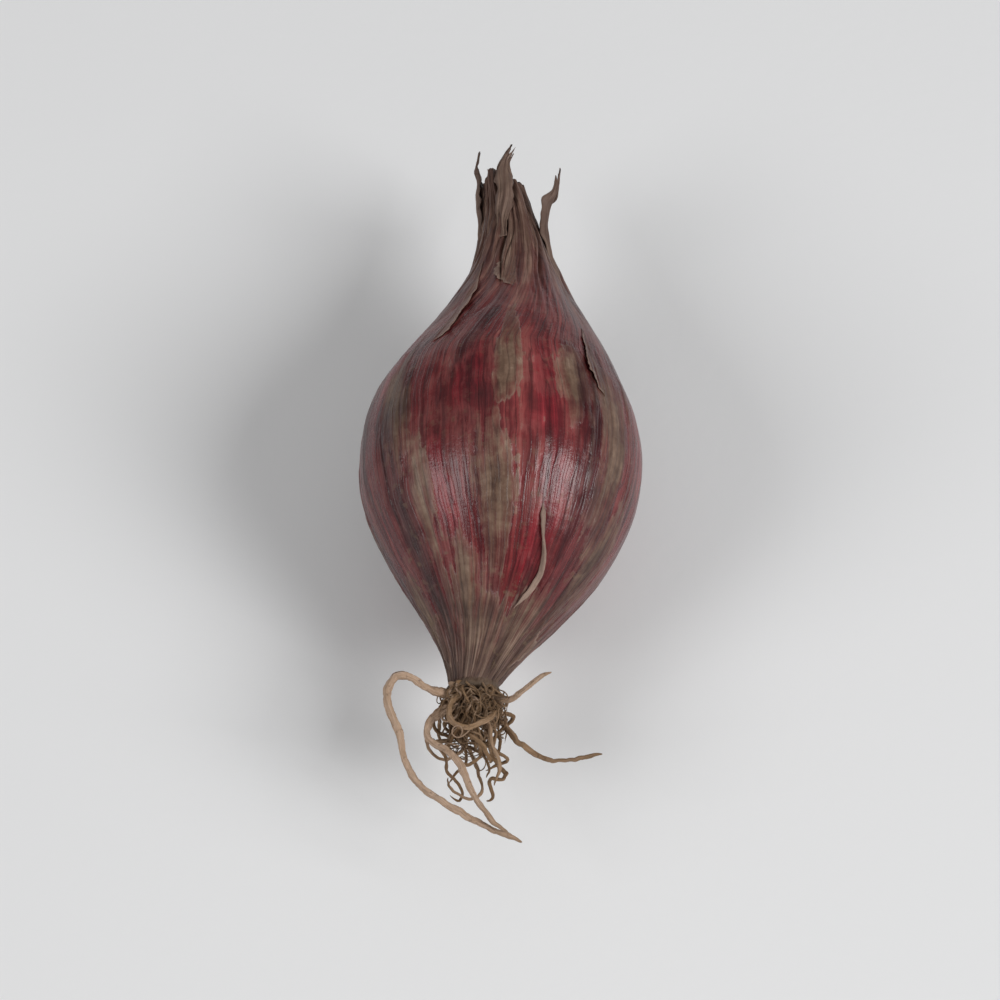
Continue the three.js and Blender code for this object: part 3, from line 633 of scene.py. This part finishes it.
def make_flap(index, spec):
    a0, s0, wa, ws, lift, side, lean = spec
    rows, cols = 90, 34
    u = np.linspace(-1, 1, rows)[:, None]
    v = np.linspace(0, 1, cols)[None, :]  # 0 where it is still attached, 1 at the free edge
    u, v = np.broadcast_arrays(u, v)
    span = np.clip(1 - np.abs(u) ** 1.6, 0, 1) ** 0.85
    torn = 1 + 0.34 * N1(u * 2.2 + index, 0.3, index * 2.1) + 0.16 * N3(u * 8 + index, 1.3, index * 1.1) + 0.07 * N5(u * 25, 0.7, index)
    reach = np.clip(span * torn, 0.015, 1.5)
    sweep = v * reach * wa
    th = np.radians(a0 + side * sweep)
    s = s0 + ws * u + 0.35 * N2(v * 1.5 + 4.1, u * 2.0, index * 1.7) * v - lean * sweep
    rise = np.clip((v * reach - 0.25) / 0.75, 0, 1)
    h = 0.05 + lift * rise**1.8 + 0.05 * N4(u * 4, v * 2.5, index * 1.9) * rise
    h = h - 0.12 * (1 - step(0.0, 0.22, v)) - 0.12 * (1 - step(0.0, 0.14, 1 - np.abs(u)))
    p, f = surface(th, s, h)
    n = grid_normals(p)
    centre = place(bend_right(s), s, bend_up(s))
    flip = np.sign(((p - centre) * n).sum(-1, keepdims=True))
    n = n * np.where(flip == 0, 1, flip)
    turn = th + 0.035 * np.clip(s - 25, 0, 30)
    skin = np.stack([np.cos(turn), np.sin(turn), s / 10], -1)
    ob = thin_sheet(f"skin_flap_{index + 1:02d}", settle(p), n, 0.05, skin)
    both = lambda a: np.tile(np.broadcast_to(a, u.shape).reshape(-1), 2)
    for key, values in {
        "old": both(np.maximum(f, 0.12)),
        "along": both(s / 43.2),
        "edge": both(step(0.72, 1.0, v) * step(0.1, 0.5, reach)),
        "red": both(0.0),
        "painted_flank_shade": both(flank_shade_field(th, s)),
    }.items():
        a = ob.data.attributes.new(key, "FLOAT", "POINT") if key != "edge" else ob.data.attributes["edge"]
        a.data.foreach_set("value", np.asarray(values, np.float32))
    return ob


def make_strand():
    """A thin pale strip torn from the skin, on the lower right of the bulb."""
    path = [(70, 11.6, 0.02), (69, 10.9, 0.10), (66.5, 9.6, 0.16), (62.5, 8.4, 0.20), (60, 7.3, 0.22), (61, 6.3, 0.24), (65, 5.5, 0.26), (69, 4.9, 0.22)]
    pts = [surface(np.array([math.radians(a)]), np.array([s]), h)[0][0] for a, s, h in path]
    C, length = spline(pts, 110)
    t = np.linspace(0, length, len(C))
    C = C + 0.05 * np.stack([N2(t * 1.4 + 9 * k, 3.0, 1.0 + k) for k in range(3)], -1)
    r = 0.20 * (1 + 0.25 * N1(t * 1.8, 4.0, 0.0)) * np.clip(t / 0.7, 0.15, 1) * np.clip((length - t) / 1.2, 0.12, 1)
    tt = t[:, None]
    verts, quads, tris = tube(C, r, 14, lambda a, k: 0.42 + 0.72 * np.cos(a + 0.45 * tt + 0.4) ** 2)
    S = np.concatenate([np.repeat(t, 14), [0, length]])
    A = np.concatenate([np.tile(np.arange(14) * 2 * np.pi / 14, len(C)), [0, 0]])
    skin = np.stack([0.2 * np.cos(A), 0.2 * np.sin(A), S / 10 + 2.0], -1)
    return new_object("skin_strand", verts, quads, tris, {"skin": skin, "edge": np.ones(len(verts))})


# ------------------------------------------------------------------ materials


class Nodes:
    def __init__(self, name):
        self.mat = bpy.data.materials.new(name)
        self.mat.use_nodes = True
        self.nt = self.mat.node_tree
        self.nt.nodes.clear()
        self.out = self.nt.nodes.new("ShaderNodeOutputMaterial")
        self.bsdf = self.nt.nodes.new("ShaderNodeBsdfPrincipled")
        self.nt.links.new(self.bsdf.outputs[0], self.out.inputs[0])

    def put(self, value, socket):
        if isinstance(value, bpy.types.NodeSocket):
            self.nt.links.new(value, socket)
        else:
            socket.default_value = value

    def attr(self, name, vector=False):
        n = self.nt.nodes.new("ShaderNodeAttribute")
        n.attribute_name = name
        return n.outputs["Vector" if vector else "Fac"]

    def obj(self):
        return self.nt.nodes.new("ShaderNodeTexCoord").outputs["Object"]

    def scaled(self, vec, x, y, z, shift=(0, 0, 0)):
        n = self.nt.nodes.new("ShaderNodeVectorMath")
        n.operation = "MULTIPLY_ADD"
        self.nt.links.new(vec, n.inputs[0])
        n.inputs[1].default_value = (x, y, z)
        n.inputs[2].default_value = shift
        return n.outputs[0]

    def warped(self, vec, obj, scale, amount):
        """vec moved about a little by a noise over the object's own coordinates."""
        n = self.nt.nodes.new("ShaderNodeTexNoise")
        self.nt.links.new(obj, n.inputs["Vector"])
        n.inputs["Scale"].default_value = scale
        n.inputs["Detail"].default_value = 2.0
        sub = self.nt.nodes.new("ShaderNodeVectorMath")
        sub.operation = "SUBTRACT"
        self.nt.links.new(n.outputs["Color"], sub.inputs[0])
        sub.inputs[1].default_value = (0.5, 0.5, 0.5)
        out = self.nt.nodes.new("ShaderNodeVectorMath")
        out.operation = "MULTIPLY_ADD"
        self.nt.links.new(sub.outputs[0], out.inputs[0])
        out.inputs[1].default_value = (amount, amount, amount * 2.5)
        self.nt.links.new(vec, out.inputs[2])
        return out.outputs[0]

    def noise(self, vec, scale=1.0, detail=2.0, rough=0.5, distort=0.0):
        n = self.nt.nodes.new("ShaderNodeTexNoise")
        self.nt.links.new(vec, n.inputs["Vector"])
        n.inputs["Scale"].default_value = scale
        n.inputs["Detail"].default_value = detail
        n.inputs["Roughness"].default_value = rough
        n.inputs["Distortion"].default_value = distort
        return n.outputs[0]

    def math(self, op, a, b=0.0, clamp=False):
        n = self.nt.nodes.new("ShaderNodeMath")
        n.operation = op
        n.use_clamp = clamp
        self.put(a, n.inputs[0])
        self.put(b, n.inputs[1])
        return n.outputs[0]

    def range(self, x, a, b, c=0.0, d=1.0, kind="SMOOTHSTEP"):
        n = self.nt.nodes.new("ShaderNodeMapRange")
        n.interpolation_type = kind
        self.put(x, n.inputs["Value"])
        n.inputs["From Min"].default_value = a
        n.inputs["From Max"].default_value = b
        n.inputs["To Min"].default_value = c
        n.inputs["To Max"].default_value = d
        return n.outputs[0]

    def ramp(self, fac, stops):
        n = self.nt.nodes.new("ShaderNodeValToRGB")
        e = n.color_ramp.elements
        while len(e) > 1:
            e.remove(e[-1])
        e[0].position, e[0].color = stops[0][0], (*stops[0][1], 1)
        for pos, col in stops[1:]:
            k = e.new(pos)
            k.color = (*col, 1)
        self.put(fac, n.inputs[0])
        return n.outputs[0]

    def mix(self, fac, a, b, kind="MIX"):
        n = self.nt.nodes.new("ShaderNodeMix")
        n.data_type = "RGBA"
        n.blend_type = kind
        self.put(fac, n.inputs[0])
        for value, socket in ((a, n.inputs[6]), (b, n.inputs[7])):
            self.put((*value, 1) if isinstance(value, tuple) and len(value) == 3 else value, socket)
        return n.outputs[2]

    def bump(self, height, distance, strength=1.0, normal=None):
        n = self.nt.nodes.new("ShaderNodeBump")
        n.inputs["Strength"].default_value = strength
        n.inputs["Distance"].default_value = distance
        self.put(height, n.inputs["Height"])
        if normal is not None:
            self.nt.links.new(normal, n.inputs["Normal"])
        return n.outputs[0]


def ridge(m, x, width):
    """1 on the thin lines where a noise crosses its middle, 0 away from them."""
    d = m.math("ABSOLUTE", m.math("SUBTRACT", x, 0.5))
    return m.range(d, 0.0, width, 1.0, 0.0)


FRESH = [(0.0, (0.036, 0.006, 0.007)), (0.28, (0.082, 0.012, 0.014)), (0.5, (0.142, 0.020, 0.022)), (0.72, (0.212, 0.034, 0.035)), (1.0, (0.310, 0.074, 0.066))]
CLEAR = [(0.0, (0.062, 0.006, 0.009)), (0.3, (0.125, 0.010, 0.015)), (0.55, (0.215, 0.018, 0.025)), (0.78, (0.310, 0.036, 0.043)), (1.0, (0.420, 0.078, 0.082))]
OLD = [(0.0, (0.034, 0.019, 0.012)), (0.30, (0.078, 0.045, 0.029)), (0.56, (0.136, 0.081, 0.053)), (0.80, (0.208, 0.134, 0.091)), (1.0, (0.310, 0.218, 0.158))]
DRY = [(0.0, (0.028, 0.015, 0.011)), (0.35, (0.070, 0.038, 0.027)), (0.65, (0.135, 0.080, 0.057)), (1.0, (0.260, 0.178, 0.132))]


def bulb_material():
    m = Nodes("onion_skin")
    obj = m.obj()
    skin = m.warped(m.attr("skin", True), obj, 170.0, 0.10)
    old, along, plate, hollow, red, edge, painted_flank_shade = (m.attr(k) for k in ("old", "along", "plate", "hollow", "red", "edge", "painted_flank_shade"))
    broad = m.noise(m.scaled(skin, 2.2, 2.2, 0.55, (3.1, 0.4, 1.0)), 1.0, 4.0, 0.55)
    strips = m.noise(m.scaled(skin, 7.5, 7.5, 0.7, (1.2, 5.3, 0.2)), 1.0, 5.0, 0.6, 0.2)
    fibre = m.noise(m.scaled(skin, 26.0, 26.0, 1.1, (7.7, 2.1, 0.9)), 1.0, 3.0, 0.6)
    veins = ridge(m, m.noise(m.scaled(skin, 13.0, 13.0, 0.45, (0.3, 9.1, 4.4)), 1.0, 1.0, 0.4), 0.045)
    hair = ridge(m, m.noise(m.scaled(skin, 34.0, 34.0, 0.9, (4.3, 1.1, 2.4)), 1.0, 1.0, 0.4), 0.07)
    cloud = m.noise(m.scaled(obj, 1, 1, 1), 240.0, 4.0, 0.55)
    mottle = m.noise(m.scaled(obj, 1, 1, 1), 620.0, 4.0, 0.62)
    speck = m.noise(m.scaled(obj, 1, 1, 1), 1500.0, 3.0, 0.6)
    micro = m.noise(m.scaled(obj, 1, 1, 1), 5200.0, 2.0, 0.5)
    centred = lambda x, k: m.math("MULTIPLY", m.math("SUBTRACT", x, 0.5), k)
    add = lambda *xs: xs[0] if len(xs) == 1 else m.math("ADD", xs[0], add(*xs[1:]))

    # the fresher skin: purple-brown, clearer crimson in places
    f = add(m.math("MULTIPLY", strips, 0.60), m.math("MULTIPLY", broad, 0.36), centred(fibre, 0.40), centred(cloud, 0.26), centred(mottle, 0.22))
    f = m.range(f, 0.30, 0.68, 0.0, 1.0, "LINEAR")
    fresh = m.mix(m.range(add(red, centred(mottle, 1.0), centred(fibre, 0.9), centred(strips, 0.8)), 0.30, 0.92), m.ramp(f, FRESH), m.ramp(f, CLEAR))
    # a greyish bloom, thickest in clouds
    bloom = m.math("MULTIPLY", m.range(add(cloud, centred(mottle, 0.6), centred(fibre, 0.5)), 0.44, 0.64), 0.26)
    fresh = m.mix(bloom, fresh, (0.180, 0.090, 0.078))
    fresh = m.mix(m.math("MULTIPLY", veins, 0.55), fresh, (0.036, 0.005, 0.008))
    fresh = m.mix(m.math("MULTIPLY", hair, 0.30), fresh, (0.050, 0.008, 0.011))

    # the older skin, dusty and olive-brown, with the red showing through where it is thin
    g = add(m.math("MULTIPLY", cloud, 0.36), m.math("MULTIPLY", strips, 0.26), m.math("MULTIPLY", fibre, 0.22), m.math("MULTIPLY", mottle, 0.22), centred(speck, 0.22))
    aged = m.ramp(m.range(g, 0.36, 0.68, 0.0, 1.0, "LINEAR"), OLD)
    aged = m.mix(m.math("MULTIPLY", veins, 0.38), aged, (0.050, 0.026, 0.020))
    field = add(old, centred(fibre, 0.42), centred(mottle, 0.36), centred(speck, 0.22))
    on = m.range(field, -0.055, 0.075)
    thin = m.range(add(old, centred(broad, 0.5), centred(mottle, 0.8), centred(fibre, 1.1)), -0.05, 0.55, 0.78, 0.05)
    colour = m.mix(on, fresh, m.mix(thin, aged, fresh))
    rim = m.math("MULTIPLY", m.range(field, -0.02, 0.05), m.range(field, 0.06, 0.13, 1.0, 0.0))
    colour = m.mix(m.math("MULTIPLY", m.math("MULTIPLY", rim, m.range(broad, 0.40, 0.60)), 0.42), colour, (0.260, 0.185, 0.138))
    # short dark cracks and pale flakes along the fibres
    crack = m.math("MULTIPLY", m.range(fibre, 0.30, 0.40, 1.0, 0.0), m.range(mottle, 0.50, 0.60))
    colour = m.mix(m.math("MULTIPLY", crack, 0.55), colour, (0.030, 0.010, 0.009))
    flake = m.math("MULTIPLY", m.range(fibre, 0.60, 0.70), m.range(mottle, 0.55, 0.66))
    colour = m.mix(m.math("MULTIPLY", flake, 0.38), colour, (0.290, 0.190, 0.150))

    # painted shade: the skin is darkened on the flanks and underneath, lightest along the top
    colour = m.mix(m.math("MULTIPLY", painted_flank_shade, 0.72, True), colour, (0.50, 0.44, 0.43), "MULTIPLY")

    # the dry neck and the dry end above the root plate
    dry = m.ramp(m.range(add(m.math("MULTIPLY", strips, 0.5), m.math("MULTIPLY", fibre, 0.35), m.math("MULTIPLY", mottle, 0.2)), 0.38, 0.64, 0.0, 1.0, "LINEAR"), DRY)
    dry = m.mix(m.math("MULTIPLY", veins, 0.45), dry, (0.040, 0.016, 0.014))
    dry = m.mix(m.math("MULTIPLY", m.range(fibre, 0.56, 0.70), 0.45), dry, (0.330, 0.240, 0.180))
    neck = m.range(add(along, centred(strips, 0.34), centred(mottle, 0.1)), 0.62, 0.90, 0.0, 0.86)
    foot = m.range(add(along, centred(strips, 0.20), centred(mottle, 0.06)), 0.03, 0.17, 0.8, 0.0)
    colour = m.mix(foot, m.mix(neck, colour, dry), dry)
    # soil dust, thicker near the roots
    dust = m.math("MULTIPLY", m.range(speck, 0.54, 0.68), m.range(cloud, 0.40, 0.62))
    dust = m.math("MULTIPLY", dust, m.range(along, 0.0, 0.45, 0.80, 0.26))
    colour = m.mix(dust, colour, (0.150, 0.098, 0.058))
    cork = m.ramp(m.math("ADD", m.math("MULTIPLY", speck, 0.6), m.math("MULTIPLY", cloud, 0.4)), [(0.3, (0.040, 0.026, 0.016)), (0.5, (0.105, 0.070, 0.044)), (0.7, (0.205, 0.145, 0.098))])
    colour = m.mix(plate, colour, cork)
    # painted shade: the hollow inside the dry neck is darkened to a dark brown
    colour = m.mix(m.math("MULTIPLY", hollow, 0.8), colour, (0.040, 0.024, 0.017))
    colour = m.mix(m.math("MULTIPLY", edge, 0.55), colour, (0.300, 0.215, 0.170))
    m.put(colour, m.bsdf.inputs["Base Color"])

    rough = add(m.range(on, 0.0, 1.0, 0.27, 0.40, "LINEAR"), centred(cloud, 0.14), centred(fibre, 0.14), centred(mottle, 0.12))
    dull = m.math("MAXIMUM", m.math("MAXIMUM", neck, foot), m.math("MAXIMUM", plate, dust))
    rough = m.math("ADD", rough, m.math("MULTIPLY", dull, 0.26), True)
    m.put(rough, m.bsdf.inputs["Roughness"])
    m.bsdf.inputs["Specular IOR Level"].default_value = 0.36

    h = add(m.math("MULTIPLY", fibre, 0.5), m.math("MULTIPLY", veins, 0.30), m.math("MULTIPLY", hair, 0.14))
    b = m.bump(h, 0.00007, 0.75)
    h2 = add(m.math("MULTIPLY", speck, 0.6), m.math("MULTIPLY", micro, 0.25), m.math("MULTIPLY", mottle, 0.5), m.math("MULTIPLY", on, 0.6), m.math("MULTIPLY", flake, 0.4))
    m.put(m.bump(h2, 0.00007, 0.6, b), m.bsdf.inputs["Normal"])
    return m.mat


def root_material():
    m = Nodes("dried_root")
    grain, obj = m.attr("grain", True), m.obj()
    tone, out = m.attr("tone"), m.attr("out")
    long = m.noise(m.scaled(grain, 1.3, 1.3, 0.8), 1.0, 4.0, 0.6)
    cord = m.noise(m.scaled(grain, 5.0, 5.0, 0.55), 1.0, 2.0, 0.6)
    ring = m.noise(m.scaled(grain, 0.5, 0.5, 5.5), 1.0, 2.0, 0.6)
    fine = m.noise(m.scaled(grain, 4.0, 4.0, 2.2), 1.0, 3.0, 0.6)
    fleck = m.noise(m.scaled(obj, 1, 1, 1), 2600.0, 3.0, 0.6)
    t = m.math("ADD", m.math("MULTIPLY", tone, 0.62), m.math("MULTIPLY", long, 0.42))
    t = m.math("ADD", t, m.math("MULTIPLY", m.math("SUBTRACT", fine, 0.5), 0.35))
    t = m.math("ADD", t, m.math("MULTIPLY", m.math("SUBTRACT", cord, 0.5), 0.42))
    t = m.math("SUBTRACT", t, m.range(out, 0.0, 0.18, 0.10, 0.0))
    t = m.math("SUBTRACT", t, m.range(out, 0.80, 1.0, 0.0, 0.10))
    col = m.ramp(t, [(0.10, (0.050, 0.026, 0.012)), (0.34, (0.165, 0.090, 0.040)), (0.55, (0.290, 0.178, 0.096)), (0.78, (0.470, 0.325, 0.230)), (1.0, (0.640, 0.490, 0.385))])
    col = m.mix(m.range(long, 0.56, 0.68, 0.0, 0.45), col, (0.120, 0.060, 0.032))
    col = m.mix(m.range(fleck, 0.58, 0.72, 0.0, 0.6), col, (0.085, 0.050, 0.030))
    m.put(col, m.bsdf.inputs["Base Color"])
    m.put(m.range(fine, 0.2, 0.8, 0.62, 0.88, "LINEAR"), m.bsdf.inputs["Roughness"])
    m.bsdf.inputs["Specular IOR Level"].default_value = 0.35
    h = m.math("ADD", m.math("MULTIPLY", fine, 0.5), m.math("MULTIPLY", fleck, 0.25))
    h = m.math("ADD", h, m.math("ADD", m.math("MULTIPLY", cord, 0.9), m.math("MULTIPLY", ring, 0.35)))
    m.put(m.bump(h, 0.00010, 0.9), m.bsdf.inputs["Normal"])
    return m.mat


def paper_material():
    m = Nodes("dried_leaf")
    skin, obj, edge = m.attr("skin", True), m.obj(), m.attr("edge")
    strips = m.noise(m.scaled(skin, 9.0, 9.0, 0.8, (2.0, 1.0, 0.0)), 1.0, 4.0, 0.6)
    fibre = m.noise(m.scaled(skin, 30.0, 30.0, 1.2), 1.0, 3.0, 0.6)
    veins = ridge(m, m.noise(m.scaled(skin, 16.0, 16.0, 0.5, (0.3, 9.1, 4.4)), 1.0, 1.0, 0.4), 0.05)
    cloud = m.noise(m.scaled(obj, 1, 1, 1), 420.0, 4.0, 0.6)
    speck = m.noise(m.scaled(obj, 1, 1, 1), 2200.0, 3.0, 0.6)
    t = m.math("ADD", m.math("MULTIPLY", strips, 0.45), m.math("MULTIPLY", cloud, 0.35))
    t = m.math("ADD", t, m.math("MULTIPLY", fibre, 0.22))
    col = m.ramp(m.range(t, 0.34, 0.70, 0.0, 1.0, "LINEAR"), [(0.0, (0.055, 0.031, 0.023)), (0.35, (0.112, 0.066, 0.048)), (0.65, (0.190, 0.124, 0.092)), (1.0, (0.310, 0.225, 0.172))])
    col = m.mix(m.math("MULTIPLY", veins, 0.5), col, (0.065, 0.024, 0.020))
    col = m.mix(m.math("MULTIPLY", edge, m.range(cloud, 0.3, 0.7, 0.45, 0.8)), col, (0.340, 0.235, 0.185))
    m.put(col, m.bsdf.inputs["Base Color"])
    m.put(m.range(speck, 0.3, 0.7, 0.50, 0.72, "LINEAR"), m.bsdf.inputs["Roughness"])
    m.bsdf.inputs["Specular IOR Level"].default_value = 0.4
    h = m.math("ADD", m.math("MULTIPLY", fibre, 0.6), m.math("MULTIPLY", speck, 0.4))
    m.put(m.bump(h, 0.00006, 0.8), m.bsdf.inputs["Normal"])
    return m.mat


def floor_material():
    m = Nodes("pale_floor")
    obj = m.obj()
    soft = m.noise(m.scaled(obj, 1, 1, 1), 6.0, 3.0, 0.5)
    fine = m.noise(m.scaled(obj, 1, 1, 1), 900.0, 3.0, 0.5)
    col = m.ramp(m.range(soft, 0.3, 0.7, 0.0, 1.0, "LINEAR"), [(0.0, (0.775, 0.778, 0.785)), (1.0, (0.805, 0.808, 0.812))])
    m.put(col, m.bsdf.inputs["Base Color"])
    m.bsdf.inputs["Roughness"].default_value = 0.75
    m.bsdf.inputs["Specular IOR Level"].default_value = 0.25
    m.put(m.bump(fine, 0.00005, 0.3), m.bsdf.inputs["Normal"])
    return m.mat


# ------------------------------------------------------------------ the scene

bulb = make_bulb()
skin_mat = bulb_material()
bulb.data.materials.append(skin_mat)
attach(bulb, "root")
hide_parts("bulb")

root_mat = root_material()
for i, (name, diameter, points) in enumerate(ROOTS):
    piece = make_root(i, name, diameter, points)
    piece.data.materials.append(root_mat)
    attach(piece, "root")
    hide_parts(name)
curls = make_rootlets()
curls.data.materials.append(root_mat)
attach(curls, "root")

paper = paper_material()
for i, (name, width, side, points) in enumerate(SHREDS):
    piece = make_shred(i, name, width, side, points)
    piece.data.materials.append(paper)
    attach(piece, "root")
    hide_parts(name)

for i, spec in enumerate(FLAPS):
    piece = make_flap(i, spec)
    piece.data.materials.append(skin_mat)
    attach(piece, "root")

strand = make_strand()
strand.data.materials.append(paper)
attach(strand, "root")

# floor
floor_mesh = bpy.data.meshes.new("floor")
floor_mesh.from_pydata([(-3, -3, 0), (3, -3, 0), (3, 3, 0), (-3, 3, 0)], [], [(0, 1, 2, 3)])
floor = bpy.data.objects.new("floor", floor_mesh)
bpy.context.scene.collection.objects.link(floor)
floor.data.materials.append(floor_material())

# camera, looking down on the onion along +Y
ELEVATION = math.radians(63)
aim = Vector((0.0, -0.0005, 0.0085))
back = Vector((0.0, -math.cos(ELEVATION), math.sin(ELEVATION)))
cam_data = bpy.data.cameras.new("camera")
cam_data.lens = 150
cam_data.sensor_width = 36
cam_data.clip_start = 0.01
cam = bpy.data.objects.new("camera", cam_data)
bpy.context.scene.collection.objects.link(cam)
cam.location = aim + back * 0.316
cam.rotation_euler = (-back).to_track_quat("-Z", "Y").to_euler()
bpy.context.scene.camera = cam


def area(name, direction, distance, size, power, colour=(1, 1, 1)):
    data = bpy.data.lights.new(name, "AREA")
    data.shape = "RECTANGLE"
    data.size, data.size_y = size
    data.energy = power
    data.color = colour
    ob = bpy.data.objects.new(name, data)
    bpy.context.scene.collection.objects.link(ob)
    d = Vector(direction).normalized()
    ob.location = aim + d * distance
    ob.rotation_euler = (-d).to_track_quat("-Z", "Y").to_euler()
    return ob


area("key_right", (0.74, -0.29, 0.61), 0.75, (0.34, 0.38), 4.2)
area("key_left", (-0.74, -0.29, 0.61), 0.75, (0.34, 0.38), 2.2)
area("top_fill", (0.0, 0.30, 0.95), 0.95, (1.1, 1.1), 0.7)

world = bpy.data.worlds.new("studio")
bpy.context.scene.world = world
world.use_nodes = True
world.node_tree.nodes["Background"].inputs[0].default_value = (1.0, 1.0, 1.0, 1)
world.node_tree.nodes["Background"].inputs[1].default_value = 0.20
bpy.context.scene.view_settings.view_transform = "Standard"
